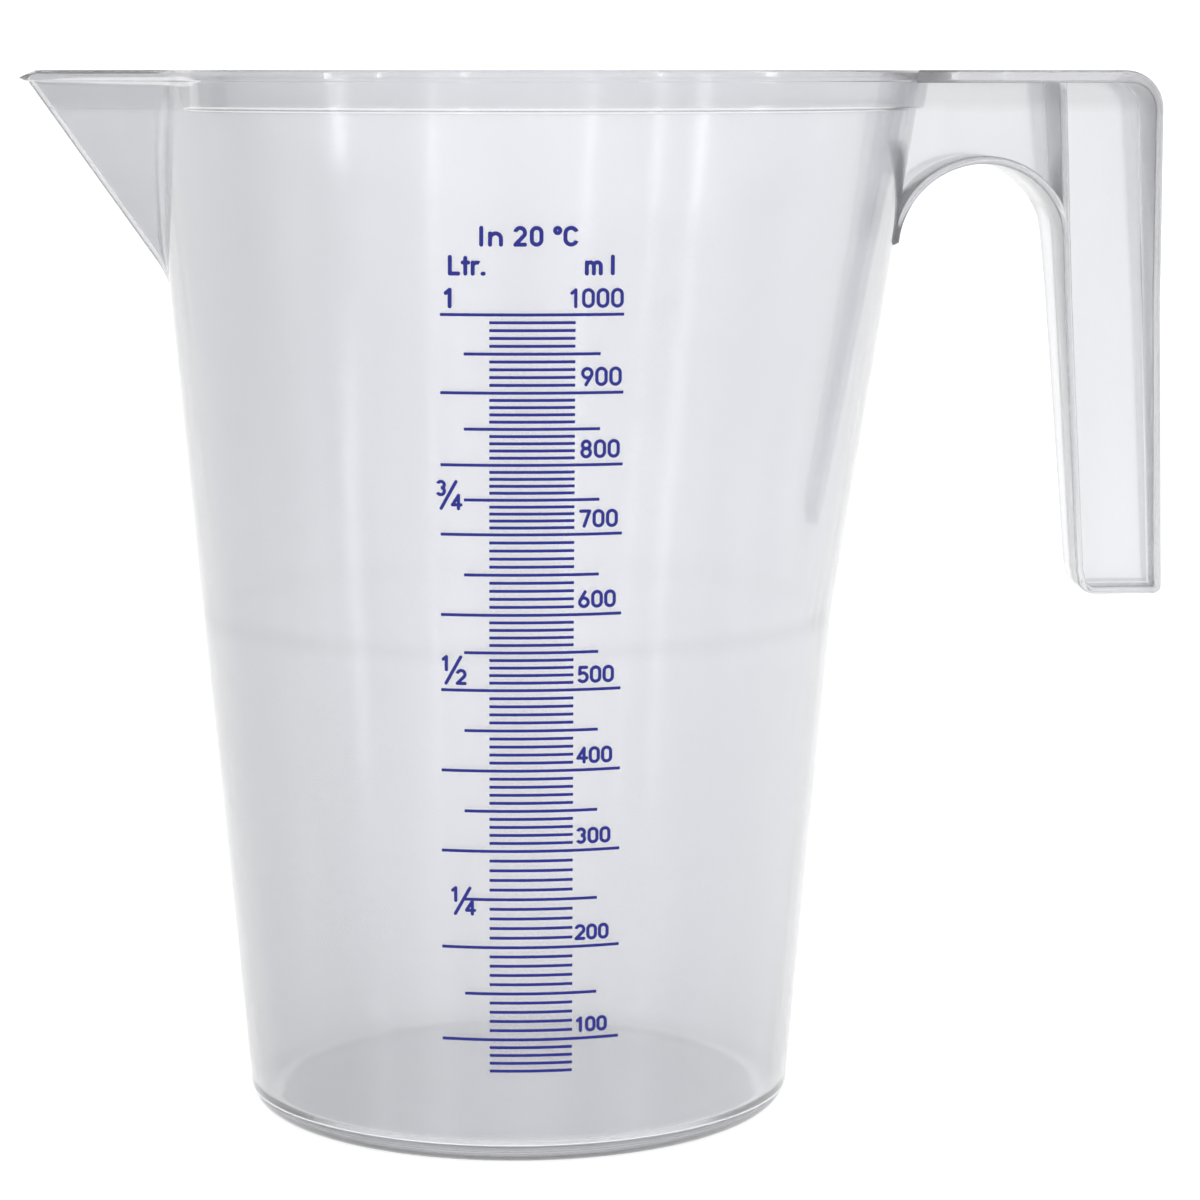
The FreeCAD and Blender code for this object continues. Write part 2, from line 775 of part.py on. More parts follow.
def drawn_text(text, left, base, height, pen, spacing=0.0):
    """The prisms of a line of text that starts at left on the base line."""
    unit = height / GRID
    prisms = []
    for letter in text:
        advance, strokes = GLYPHS[letter]
        if strokes:
            prisms.append(drawn_glyph(letter, left, base, height, pen))
        left += advance * unit + spacing
    return prisms


def drawn_fraction(above, below, left, base):
    """A stacked fraction with a long slash."""
    digit = value("fraction_digit")
    total = value("fraction_height")
    pen = value("stroke")
    slash_left = left + 0.3 * digit
    slash_right = left + 1.4 * digit
    slash = pen_line((slash_left, base), (slash_right, base + total), pen)
    slash.translate(Vector(0, PRINT_NEAR, 0))
    return [
        drawn_glyph(above, left, base + total - digit, digit, pen),
        slash.extrude(Vector(0, PRINT_DEPTH, 0)),
        drawn_glyph(below, left + 1.15 * digit, base, digit, pen),
    ]


def printed(name, prisms, film):
    """A group of marks: what the prisms cut out of the ink film."""
    cutter = Part.makeCompound(prisms)
    pieces = []
    for layer in film:
        pieces += layer.common(cutter).Solids
    made = doc.addObject("Part::Feature", name)
    made.Shape = Part.makeCompound(pieces)
    made.Label = name
    return made


# Litre fractions: millilitres, the digits, the left end and how far the slash's foot is above the mark.
FRACTIONS = (
    (750, "3", "4", -14.15, -1.35),
    (500, "1", "2", -13.5, 1.05),
    (250, "1", "4", -12.2, -2.35),
)
HUNDREDS = range(100, 1001, 100)
LOWEST_ML = 60


def mark_height(millilitres):
    """The height of a mark, from the sheet's hundreds with even steps between them."""
    if millilitres <= 100:
        share = (millilitres - LOWEST_ML) / (100 - LOWEST_ML)
        return value("lowest_mark") + share * (value("mark_100") - value("lowest_mark"))
    below = millilitres // 100 * 100
    if below == 1000:
        return value("mark_1000")
    low, high = value(f"mark_{below}"), value(f"mark_{below + 100}")
    return low + (millilitres - below) / 100 * (high - low)


def make_scale():
    film = ink_film()
    ticks, half_lines, main_lines = [], [], []
    for millilitres in range(LOWEST_ML, 1001, 10):
        height = mark_height(millilitres)
        if millilitres % 100 == 0:
            group, half = main_lines, value("main_line_half")
        elif millilitres % 50 == 0:
            group, half = half_lines, value("half_line_half")
        else:
            group, half = ticks, value("tick_half")
        group.append(bar(-half, half, height))

    height = value("glyph_height")
    numerals = []
    for millilitres in HUNDREDS:
        right = value("numeral_right") + value("numeral_step") * (millilitres / 100 - 1)
        size = height - value("numeral_growth") * (HUNDREDS[-1] - millilitres) / 100
        text = str(millilitres)
        left = right - text_width(text, size)
        base = mark_height(millilitres) + value("numeral_gap")
        numerals += drawn_text(text, left, base, size, value("stroke"))

    bold = value("label_stroke")
    litres = drawn_text("1", value("one_left"), mark_height(1000) + value("numeral_gap"), height, bold)
    for millilitres, above, below, left, rise in FRACTIONS:
        litres += drawn_fraction(above, below, left, mark_height(millilitres) + rise)

    unit_base, note_base = value("unit_baseline"), value("note_baseline")
    units = drawn_text("Ltr.", value("litre_label_left"), unit_base, height, bold)
    units += drawn_text("ml", value("millilitre_label_left"), unit_base, height, bold)
    note = drawn_text("In 20 °C", value("note_left"), note_base, height, bold, value("note_spacing"))
    groups = {
        "scale_ticks_10ml": ticks,
        "scale_lines_50ml": half_lines,
        "scale_lines_100ml": main_lines,
        "scale_numerals": numerals,
        "scale_litre_fractions": litres,
        "scale_unit_letters": units,
        "scale_temperature_note": note,
    }
    return [printed(name, prisms, film) for name, prisms in groups.items()]


# ---- the whole jug ----


def make_jug():
    taper, inside, collar, vessel = make_vessel_solids()
    outer, inner, lip = make_spout_solids()
    envelope = make_width_envelope()
    nodes = [make_foot_ring(), make_vessel_floor(), make_base_corner(), make_lower_wall()]

    shell = boolean("Cut", "upper_shell", taper, inside)
    nodes.append(boolean("Cut", "upper_wall", shell, inner))
    band = boolean("Cut", "collar_shell", collar, inside)
    nodes.append(boolean("Cut", "rim_collar", band, inner))

    hollow = boolean("Cut", "channel_shell", outer, inner)
    nodes.append(boolean("Cut", "pouring_spout", hollow, vessel))
    lip_shell = boolean("Cut", "lip_shell", lip, inner)
    lip_outside = boolean("Cut", "lip_outside_vessel", lip_shell, vessel)
    nodes.append(boolean("Cut", "spout_lip", lip_outside, make_nose_trim()))

    nodes.append(make_top_strap(vessel))
    nodes.append(make_back_flange(envelope))
    nodes.append(make_bottom_flange(envelope))
    nodes.append(make_finger_flange(envelope))
    drum, arch = make_arch_flange(envelope, vessel)
    nodes.append(arch)
    bridge = make_bridge_web(vessel, drum)
    nodes.append(bridge)
    nodes.append(make_cross_rib(envelope, drum))
    nodes.append(make_grip_web())
    return nodes + make_scale()


def broken(item):
    return any(state in ("Invalid", "Error") for state in item.State)


def main():
    nodes = make_jug()
    doc.recompute()
    failed = [item.Name for item in doc.Objects if broken(item)]
    if failed:
        raise RuntimeError(f"failed objects: {failed}")
    for node in nodes:
        node.Label = node.Name
        shape = node.Shape
        if shape.isNull() or not shape.isValid() or not shape.Solids:
            raise RuntimeError(f"{node.Label} has no valid solid")
    os.makedirs("parts", exist_ok=True)
    for node in nodes:
        node.Shape.exportStep(f"parts/{node.Label}.step")
        box = node.Shape.BoundBox
        print(f"{node.Label}: {len(node.Shape.Solids)} solids, {node.Shape.Volume:.1f} mm3,"
              f" z {box.ZMin:.1f} to {box.ZMax:.1f}")


main()
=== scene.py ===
import math

import bmesh
import bpy
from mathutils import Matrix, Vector


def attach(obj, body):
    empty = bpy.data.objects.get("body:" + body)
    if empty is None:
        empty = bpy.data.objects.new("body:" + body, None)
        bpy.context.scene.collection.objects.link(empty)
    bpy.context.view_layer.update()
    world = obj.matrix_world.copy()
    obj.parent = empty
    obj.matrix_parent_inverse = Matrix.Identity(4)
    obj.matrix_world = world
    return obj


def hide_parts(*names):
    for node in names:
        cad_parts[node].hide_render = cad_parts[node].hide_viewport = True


# A one-litre translucent measuring jug on a white studio sweep. The vessel and its handle are remodelled
# over the CAD regions as two closed skins; the printed scale is the CAD's own. Shapes are in millimetres, in
# the CAD's frame: +Z up, spout to -X, handle to +X, printed front towards -Y.

MM = 0.001

# vessel
WALL = 1.5
BASE_RADIUS = 44.3
CORNER_RADIUS = 4.0
INNER_CORNER_RADIUS = 2.2
FOOT_HEIGHT = 1.0
FOOT_INNER_RADIUS = 38.9
FLOOR_TOP = 2.8
WALL_START = 5.0
CREASE_HEIGHT = 82.0
CREASE_RADIUS = 51.6
RIM_HEIGHT = 169.5
RIM_RADIUS = 62.3
RIM_SHIFT = 3.2
CREASE_STEP = 0.1  # the wall is this much thicker below the crease, on the inside
CREASE_RAMP = 5.0  # the height over which it thickens
COLLAR_HEIGHT = 6.0
COLLAR_PROUD = 1.2
# Between these angles from the spout's nose the collar dies out.
COLLAR_FADE = (math.radians(26.0), math.radians(36.0))
EDGE_ROUND = 0.45
SMALL_ROUND = 0.3  # the foot's edges and the hollow under the collar

# spout
SPOUT_REACH = 79.5
SPOUT_ROOT_REACH = 56.1
SPOUT_ROOT_HEIGHT = 136.0
SPOUT_HALF_ANGLE = math.radians(40.0)
SPOUT_NOSE_RADIUS = 3.0
SPOUT_BLEND = 1.6
LIP_HEIGHT = 1.7
LIP_PROUD = 0.5
LIP_SHOULDER = (0.1, 0.15)  # how far in, and how far up, the lip's lower edge is cut back
LIP_CUT_BACK = 3.4
LIP_CUT_DROP = 1.3

# handle
STRAP_THICKNESS = 2.0
STRAP_FLARE_X = 81.8
STRAP_FLARE_RADIUS = 28.35
FLANGE = 1.3
WEB = 2.0
CORNER_X = 96.4
CORNER_BEND = 6.5
BACK_X = 102.9
BACK_FOOT_X = 106.0
GRIP_BOTTOM = 84.0
GRIP_CORNER = 3.0
HEEL_ROUND = 1.4
FINGER_TOP_X = 85.7
FINGER_FOOT_X = 91.9
ARCH_X = 74.5
ARCH_HEIGHT = 141.2
ARCH_RADIUS = 13.4
ARCH_END_HEIGHT = 144.3
ARCH_FOOT_HEIGHT = 142.0
GRIP_MIDDLE_HEIGHT = 133.0
GRIP_HALF_WIDTHS = (5.6, 9.2, 15.5)  # at the foot, at GRIP_MIDDLE_HEIGHT and at the strap
STRAP_OVERLAP = 6.0  # the strap starts this far inside the rim, then is trimmed to the wall
ARCH_OVERLAP = (2.5, 1.2)  # the arch runs on this far inwards, and down, then is trimmed too
RIB_INSET = (0.03, 0.05)  # the cross rib is this much thinner and narrower than the flange it meets
HANDLE_EMBED = 0.12  # the trimmed ends reach this far into the wall

# the meshes' rings and points: the longest steps between them, and where the first and last ones are
LOWER_WALL_STEP = 3.0
CREASE_WALL_STEP = 0.5
UPPER_WALL_STEP = 1.4
COLLAR_STEP = 1.0
SHORT_STEP = 0.2  # between the end of a straight stretch and what follows
FIRST_FLOOR_RING = 6.0
FLOOR_STEP = 8.0
HULL_STEP = 4.0
HULL_LEDGE = 0.1  # the height over which the trimming block steps out to the collar
HULL_ABOVE_RIM = 3.0
STRAP_STEP = 1.5
GRIP_STEP = 7.0
RIB_STEP = 3.0
# Round the vessel, in degrees from the spout's nose: from, to and the step, finer where the nose is sharp.
ANGLE_STEPS = ((0.0, 4.0, 0.32), (4.0, 50.0, 1.0), (50.0, 180.0, 1.5))

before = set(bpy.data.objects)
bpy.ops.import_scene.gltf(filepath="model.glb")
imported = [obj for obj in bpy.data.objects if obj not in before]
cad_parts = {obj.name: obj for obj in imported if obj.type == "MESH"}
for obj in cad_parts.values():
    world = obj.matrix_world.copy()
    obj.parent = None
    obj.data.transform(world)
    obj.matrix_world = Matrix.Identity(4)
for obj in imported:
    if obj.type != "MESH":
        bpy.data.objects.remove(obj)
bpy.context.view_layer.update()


# ---- meshes ----


def add_mesh(name, points, faces, material):
    """A smooth-shaded object from points in millimetres."""
    mesh = bpy.data.meshes.new(name)
    mesh.from_pydata([tuple(c * MM for c in p) for p in points], [], faces)
    shell = bmesh.new()
    shell.from_mesh(mesh)
    bmesh.ops.recalc_face_normals(shell, faces=shell.faces)
    shell.to_mesh(mesh)
    shell.free()
    mesh.shade_smooth()
    mesh.materials.append(material)
    piece = bpy.data.objects.new(name, mesh)
    bpy.context.scene.collection.objects.link(piece)
    return piece


def loft(rings, closed_ends=True):
    """Points and faces of a skin over rings of equally many points, or of one point where it closes."""
    points = []
    starts = []
    for ring in rings:
        starts.append(len(points))
        points.extend(ring)
    faces = []
    for low, high in zip(range(len(rings)), range(1, len(rings))):
        a, b = starts[low], starts[high]
        count = max(len(rings[low]), len(rings[high]))
        for i in range(count):
            j = (i + 1) % count
            if len(rings[low]) == 1:
                faces.append((a, b + j, b + i))
            elif len(rings[high]) == 1:
                faces.append((a + i, a + j, b))
            else:
                faces.append((a + i, a + j, b + j, b + i))
    if closed_ends:
        for index in (0, len(rings) - 1):
            if len(rings[index]) > 1:
                faces.append(tuple(range(starts[index], starts[index] + len(rings[index]))))
    return points, faces


def arc_points(centre, radius, start, end, steps):
    """Points on an arc, its angles in degrees, both ends included."""
    cx, cy = centre
    turns = [math.radians(start + (end - start) * i / steps) for i in range(steps + 1)]
    return [(cx + radius * math.cos(t), cy + radius * math.sin(t)) for t in turns]


def steps_between(low, high, longest):
    """Evenly spaced values from low to high, both included, no further apart than longest."""
    count = max(1, math.ceil(abs(high - low) / longest - 1e-9))
    return [low + (high - low) * i / count for i in range(count + 1)]


# ---- vessel ----

LOWER_SLOPE = (CREASE_RADIUS - BASE_RADIUS) / CREASE_HEIGHT
UPPER_SLOPE = (RIM_RADIUS - CREASE_RADIUS) / (RIM_HEIGHT - CREASE_HEIGHT)
UPPER_LEAN = RIM_SHIFT / (RIM_HEIGHT - CREASE_HEIGHT)
NOSE_SLOPE = (SPOUT_REACH - SPOUT_ROOT_REACH) / (RIM_HEIGHT - SPOUT_ROOT_HEIGHT)


def nose_angles():
    """Half a turn of angles in degrees, measured from the spout's nose."""
    angles = [0.0]
    for low, high, step in ANGLE_STEPS:
        angles += steps_between(low, high, step)[1:]
    return angles


HALF_TURN = nose_angles()
ANGLES = [math.radians(180.0 + a) for a in HALF_TURN[:-1]]
ANGLES += [math.radians(180.0 - a) for a in reversed(HALF_TURN[1:])]


def ease(share):
    """A smooth step from 0 to 1."""
    share = min(max(share, 0.0), 1.0)
    return share * share * (3 - 2 * share)


def smooth_max(first, second, blend):
    """The larger of two values, rounded over where they are within the blend of each other."""
    overlap = max(blend - abs(first - second), 0.0) / blend
    return max(first, second) + overlap * overlap * blend / 4


def wall_radius(height):
    """The outside radius of the wall, which changes its slope at the crease."""
    if height < CREASE_HEIGHT:
        return BASE_RADIUS + LOWER_SLOPE * height
    return CREASE_RADIUS + UPPER_SLOPE * (height - CREASE_HEIGHT)


def wall_shift(height):
    """How far the round wall's centre has moved from the axis towards +X; it leans above the crease."""
    return UPPER_LEAN * max(height - CREASE_HEIGHT, 0.0)


def circle_reach(angle, radius, shift):
    """How far a circle shifted along X reaches from the axis in a direction."""
    return shift * math.cos(angle) + math.sqrt(radius**2 - (shift * math.sin(angle)) ** 2)


def nose_reach(angle, reach, radius):
    """How far the V of the spout, with a rounded nose at -reach, reaches from the axis in a direction."""
    away = abs(math.pi - angle)
    centre = reach - radius
    if away > math.pi / 2 - SPOUT_HALF_ANGLE or centre <= 0:
        return 0.0
    touch = math.atan2(radius * math.cos(SPOUT_HALF_ANGLE), centre + radius * math.sin(SPOUT_HALF_ANGLE))
    if away < touch:
        return centre * math.cos(away) + math.sqrt(radius**2 - (centre * math.sin(away)) ** 2)
    return (centre * math.sin(SPOUT_HALF_ANGLE) + radius) / math.sin(SPOUT_HALF_ANGLE + away)


def lowered_at_nose(x, height):
    """The rim's height where the nose's top is cut back to a slope."""
    lip_foot = RIM_HEIGHT - LIP_HEIGHT
    start = SPOUT_REACH + LIP_PROUD - LIP_CUT_BACK
    drop = max(-x - start, 0.0) * LIP_CUT_DROP / LIP_CUT_BACK
    if height <= lip_foot:
        return height
    return lip_foot + (height - lip_foot) * (1 - drop / LIP_HEIGHT)


def collar_share(angle):
    """How much of the collar there is in a direction: none at the spout, all of it past the fade."""
    start, end = COLLAR_FADE
    return ease((abs(math.pi - angle) - start) / (end - start))


def wall_ring(height, body_grow, nose_grow):
    """A level ring round the wall and spout, each moved out by its own amount."""
    reach = SPOUT_ROOT_REACH + NOSE_SLOPE * (height - SPOUT_ROOT_HEIGHT)
    ring = []
    for angle in ANGLES:
        grow = body_grow
        if body_grow > nose_grow:
            grow = nose_grow + (body_grow - nose_grow) * collar_share(angle)
        body = circle_reach(angle, wall_radius(height) + grow, wall_shift(height))
        nose = nose_reach(angle, reach + nose_grow, SPOUT_NOSE_RADIUS + nose_grow)
        distance = smooth_max(body, nose, SPOUT_BLEND)
        x, y = distance * math.cos(angle), distance * math.sin(angle)
        ring.append((x, y, lowered_at_nose(x, height)))
    return ring


def floor_ring(radius, height):
    """A level round ring on the axis."""
    return [(radius * math.cos(a), radius * math.sin(a), height) for a in ANGLES]


def outer_base_profile():
    """(radius, height) from the recess under the floor, over the foot and round the corner."""
    lean = math.atan(LOWER_SLOPE)
    centre = BASE_RADIUS + LOWER_SLOPE * CORNER_RADIUS - CORNER_RADIUS * math.hypot(1, LOWER_SLOPE)
    recess_edge = FOOT_INNER_RADIUS - 2 * SMALL_ROUND
    recess = [(r, FOOT_HEIGHT) for r in steps_between(FIRST_FLOOR_RING, recess_edge, FLOOR_STEP)]
    hollow_centre = (FOOT_INNER_RADIUS - SMALL_ROUND, FOOT_HEIGHT - SMALL_ROUND)
    hollow = arc_points(hollow_centre, SMALL_ROUND, 90, 0, 3)
    edge = arc_points((FOOT_INNER_RADIUS + SMALL_ROUND, SMALL_ROUND), SMALL_ROUND, 180, 270, 3)
    corner = arc_points((centre, CORNER_RADIUS), CORNER_RADIUS, -90, -math.degrees(lean), 12)
    return recess + hollow + edge + corner


def inner_base_profile():
    """(radius, height) from the wall's inside round the inner corner to the middle of the floor."""
    start = BASE_RADIUS + LOWER_SLOPE * WALL_START - WALL
    centre = (start - INNER_CORNER_RADIUS, FLOOR_TOP + INNER_CORNER_RADIUS)
    corner = arc_points(centre, INNER_CORNER_RADIUS, 0, -90, 7)
    floor = steps_between(centre[0] - FLOOR_STEP / 2, FIRST_FLOOR_RING, FLOOR_STEP)
    return corner + [(r, FLOOR_TOP) for r in floor]


def wall_heights(low, high):
    """Heights of the rings up a wall, closest together across the crease."""
    near = CREASE_RAMP / 2
    lower = steps_between(low, CREASE_HEIGHT - near, LOWER_WALL_STEP)
    across = steps_between(CREASE_HEIGHT - near, CREASE_HEIGHT + near, CREASE_WALL_STEP)
    upper = steps_between(CREASE_HEIGHT + near, high, UPPER_WALL_STEP)
    return lower[:-1] + across + upper[1:]


def outside_rings():
    """Rings up the outside of the wall, out round the collar's lower edge and on to the lip."""
    collar_foot = RIM_HEIGHT - COLLAR_HEIGHT
    lip_foot = RIM_HEIGHT - LIP_HEIGHT
    shoulder_in, shoulder_up = LIP_SHOULDER
    wall = wall_heights(WALL_START, collar_foot - SMALL_ROUND - SHORT_STEP)
    hollow = arc_points((SMALL_ROUND, -SMALL_ROUND), SMALL_ROUND, 180, 90, 3)
    edge = arc_points((COLLAR_PROUD - EDGE_ROUND, EDGE_ROUND), EDGE_ROUND, -90, 0, 4)
    collar = steps_between(collar_foot + COLLAR_STEP, lip_foot - SHORT_STEP, COLLAR_STEP)
    rings = [wall_ring(z, 0.0, 0.0) for z in wall]
    rings += [wall_ring(collar_foot + up, out, 0.0) for out, up in hollow + edge]
    rings += [wall_ring(z, COLLAR_PROUD, 0.0) for z in collar]
    rings += [wall_ring(lip_foot, COLLAR_PROUD, out) for out in (shoulder_in, LIP_PROUD - shoulder_in)]
    rings.append(wall_ring(lip_foot + shoulder_up, COLLAR_PROUD, LIP_PROUD))
    rings.append(wall_ring(RIM_HEIGHT - EDGE_ROUND, COLLAR_PROUD, LIP_PROUD))
    return rings


def rim_rings():
    """Rings over the rounded rim, from the collar's outside to the wall's inside."""
    outer = arc_points((-EDGE_ROUND, -EDGE_ROUND), EDGE_ROUND, 0, 90, 4)[1:]
    inner = arc_points((EDGE_ROUND - WALL, -EDGE_ROUND), EDGE_ROUND, 90, 180, 4)
    rings = [wall_ring(RIM_HEIGHT + up, COLLAR_PROUD + out, LIP_PROUD + out) for out, up in outer]
    return rings + [wall_ring(RIM_HEIGHT + up, out, out) for out, up in inner]


def inside_rings():
    """Rings down the inside of the wall, which is a little thicker below the crease."""
    rings = []
    for z in reversed(wall_heights(WALL_START, RIM_HEIGHT - UPPER_WALL_STEP)):
        thicker = CREASE_STEP * ease((CREASE_HEIGHT - z) / CREASE_RAMP + 0.5)
        rings.append(wall_ring(z, -WALL - thicker, -WALL))
    return rings


def make_vessel(material):
    """The vessel with its spout as one closed skin: up the outside, over the rim and down the inside."""
    rings = [[(0.0, 0.0, FOOT_HEIGHT)]]
    rings += [floor_ring(r, z) for r, z in outer_base_profile()]
    rings += outside_rings() + rim_rings() + inside_rings()
    rings += [floor_ring(r, z) for r, z in inner_base_profile()[1:]]
    rings.append([(0.0, 0.0, FLOOR_TOP)])
    points, faces = loft(rings)
    return add_mesh("vessel", points, faces, material)


def make_vessel_hull(material):
    """The vessel's outside as a solid block, slightly smaller, for trimming the handle's roots."""
    collar_foot = RIM_HEIGHT - COLLAR_HEIGHT
    collar = (collar_foot + HULL_LEDGE, RIM_HEIGHT + HULL_ABOVE_RIM)
    heights = steps_between(CREASE_HEIGHT, collar_foot, HULL_STEP)
    rings = [wall_ring(z, -HANDLE_EMBED, -HANDLE_EMBED) for z in heights]
    rings += [wall_ring(z, COLLAR_PROUD - HANDLE_EMBED, -HANDLE_EMBED) for z in collar]
    points, faces = loft(rings)
    return add_mesh("vessel_hull", points, faces, material)


# ---- handle ----


def finger_x(height):
    """Where the grip's finger side is at a height."""
    lean = (FINGER_FOOT_X - FINGER_TOP_X) / (RIM_HEIGHT - GRIP_BOTTOM)
    return FINGER_TOP_X + lean * (RIM_HEIGHT - height)


def back_x(height):
    """Where the handle's back is at a height below its top corner."""
    start = RIM_HEIGHT - CORNER_BEND
    lean = (BACK_FOOT_X - BACK_X) / (start - GRIP_BOTTOM)
    return BACK_X + lean * (start - height)


def grip_half_width(height):
    """The handle's half width at a height: it tapers to the foot of the grip."""
    foot, middle, top = GRIP_HALF_WIDTHS
    if height < GRIP_MIDDLE_HEIGHT:
        return foot + (middle - foot) * (height - GRIP_BOTTOM) / (GRIP_MIDDLE_HEIGHT - GRIP_BOTTOM)
    return middle + (top - middle) * (height - GRIP_MIDDLE_HEIGHT) / (RIM_HEIGHT - GRIP_MIDDLE_HEIGHT)


def strap_half_width(x):
    """The strap's half width: straight-sided, then flaring in an arc to the rim."""
    top = GRIP_HALF_WIDTHS[2]
    run = max(STRAP_FLARE_X - x, 0.0)
    return top + STRAP_FLARE_RADIUS - math.sqrt(STRAP_FLARE_RADIUS**2 - run**2)


def handle_outline():
    """(x, height) points of the handle's outer face: along the strap, round the grip, over the arch.

    The straight stretches stop a little short of the bends, so that no two points fall together.
    """
    strap_start, strap_end = RIM_RADIUS - STRAP_OVERLAP, CORNER_X - 1.0
    strap = [(x, RIM_HEIGHT) for x in steps_between(strap_start, strap_end, STRAP_STEP)]
    corner = arc_points((CORNER_X, RIM_HEIGHT - CORNER_BEND), CORNER_BEND, 88, 2, 12)
    back_start, back_end = RIM_HEIGHT - CORNER_BEND - 1.5, GRIP_BOTTOM + 2.0
    back = [(back_x(z), z) for z in steps_between(back_start, back_end, GRIP_STEP)]
    heel_centre = (back_x(GRIP_BOTTOM) - HEEL_ROUND, GRIP_BOTTOM + HEEL_ROUND)
    heel = arc_points(heel_centre, HEEL_ROUND, 0, -90, 4)
    toe_centre = (finger_x(GRIP_BOTTOM) + GRIP_CORNER, GRIP_BOTTOM + GRIP_CORNER)
    toe = arc_points(toe_centre, GRIP_CORNER, -90, -176, 8)
    finger_start, finger_end = GRIP_BOTTOM + GRIP_CORNER + 1.0, ARCH_END_HEIGHT - 2.0
    finger = [(finger_x(z), z) for z in steps_between(finger_start, finger_end, GRIP_STEP)]
    start = math.degrees(math.asin((ARCH_END_HEIGHT - ARCH_HEIGHT) / ARCH_RADIUS))
    foot = 180 - math.degrees(math.asin((ARCH_FOOT_HEIGHT - ARCH_HEIGHT) / ARCH_RADIUS))
    arch = arc_points((ARCH_X, ARCH_HEIGHT), ARCH_RADIUS, start + 4, foot, 36)
    run_on, run_down = ARCH_OVERLAP
    root = (ARCH_X - ARCH_RADIUS - run_on, ARCH_FOOT_HEIGHT - run_down)
    return strap + corner + back + heel + toe + finger + arch + [root]


def inward(outline):
    """The unit normals of an open outline, pointing to the inside of the handle."""
    normals = []
    for index in range(len(outline)):
        before = outline[max(index - 1, 0)]
        after = outline[min(index + 1, len(outline) - 1)]
        along = (after[0] - before[0], after[1] - before[1])
        length = math.hypot(*along)
        normals.append((along[1] / length, -along[0] / length))
    return normals


def flange_section(point, normal, thickness, half_width):
    """A rounded rectangle across the handle: from the outer face inwards by the thickness."""
    round_by = EDGE_ROUND
    ring = []
    corners = (
        (thickness - round_by, half_width - round_by, 0),
        (round_by, half_width - round_by, 90),
        (round_by, round_by - half_width, 180),
        (thickness - round_by, round_by - half_width, 270),
    )
    for depth, across, start in corners:
        for d, a in arc_points((depth, across), round_by, start, start + 90, 4):
            ring.append((point[0] + normal[0] * d, a, point[1] + normal[1] * d))
    return ring


def make_contour_flange(material):
    """The flange that runs along the strap, down the back, round the grip and over the fingers."""
    outline = handle_outline()
    rings = []
    for (x, z), normal in zip(outline, inward(outline)):
        on_strap = z > RIM_HEIGHT - 0.01
        half_width = strap_half_width(x) if on_strap else grip_half_width(z)
        past_strap = 1.0
        if z > RIM_HEIGHT - CORNER_BEND:
            past_strap = min(max((x - CORNER_X) / CORNER_BEND, 0.0), 1.0)
        thickness = STRAP_THICKNESS + (FLANGE - STRAP_THICKNESS) * past_strap
        rings.append(flange_section((x, z), normal, thickness, half_width))
    points, faces = loft(rings)
    return add_mesh("contour_flange", points, faces, material)


def make_cross_rib(material):
    """The rib from the arch up to the strap, in line with the finger flange."""
    thinner, narrower = RIB_INSET
    rings = []
    for z in steps_between(ARCH_END_HEIGHT - 1.0, RIM_HEIGHT - STRAP_THICKNESS / 2, RIB_STEP):
        half_width = grip_half_width(z) - narrower
        rings.append(flange_section((finger_x(z), z), (1.0, 0.0), FLANGE - thinner, half_width))
    points, faces = loft(rings)
    return add_mesh("cross_rib", points, faces, material)


def make_web(material):
    """The thin web that fills the handle's contour in its middle plane."""
    outline = handle_outline()
    half = FLANGE / 2
    middle = [(x + nx * half, z + nz * half) for (x, z), (nx, nz) in zip(outline, inward(outline))]
    sides = [[(x, side * WEB / 2, z) for x, z in middle] for side in (-1, 1)]
    points, faces = loft(sides)
    return add_mesh("web", points, faces, material)


def boolean(piece, other, operation):
    """Joins or cuts a closed mesh with another, which is then removed."""
    modifier = piece.modifiers.new("boolean", "BOOLEAN")
    modifier.operation = operation
    modifier.solver = "EXACT"
    modifier.object = other
    depsgraph = bpy.context.evaluated_depsgraph_get()
    result = bpy.data.meshes.new_from_object(piece.evaluated_get(depsgraph))
    piece.modifiers.clear()
    piece.data = result
    bpy.data.objects.remove(other)


def make_handle(material):
    """The handle as one closed skin: flange, rib and web joined, then trimmed where they meet the wall."""
    handle = make_contour_flange(material)
    boolean(handle, make_cross_rib(material), "UNION")
    boolean(handle, make_web(material), "UNION")
    boolean(handle, make_vessel_hull(material), "DIFFERENCE")
    handle.name = "handle"
    handle.data.set_sharp_from_angle(angle=math.radians(40))
    return handle


# ---- materials ----


# Painted shade by place, darkening the plastic's colour: the axis, the stretch along it in metres and the
# values at its ends.
PAINTED_SHADE_RAMPS = {
    "towards the foot": ("Z", (0.0, 0.1), (0.91, 1.0)),
    "towards the spout": ("X", (-0.048, -0.012), (0.84, 1.0)),
    "towards the handle": ("X", (0.015, 0.075), (1.0, 0.93)),
    "collar and strap": ("Z", (0.1625, 0.1645), (1.0, 0.9)),
}
# A thin line of painted shade along the crease: how far it darkens the colour, and its half height in
# metres.
CREASE_LINE_PAINTED_SHADE = 0.96
CREASE_LINE_HALF_HEIGHT = 0.0022
HANDLE_START = (0.064, 0.076)  # the stretch along X where the wall's roughness turns into the handle's
WALL_ROUGHNESS = 0.11
HANDLE_ROUGHNESS = 0.19


def node_material(name):
    """A new material and its Principled shader."""
    material = bpy.data.materials.new(name)
    material.use_nodes = True
    return material, material.node_tree.nodes["Principled BSDF"]


def ramp(material, source, stretch, values):
    """A value that runs between two values as the source runs along a stretch."""
    node = material.node_tree.nodes.new("ShaderNodeMapRange")
    node.inputs["From Min"].default_value, node.inputs["From Max"].default_value = stretch
    node.inputs["To Min"].default_value, node.inputs["To Max"].default_value = values
    material.node_tree.links.new(source, node.inputs["Value"])
    return node.outputs["Result"]


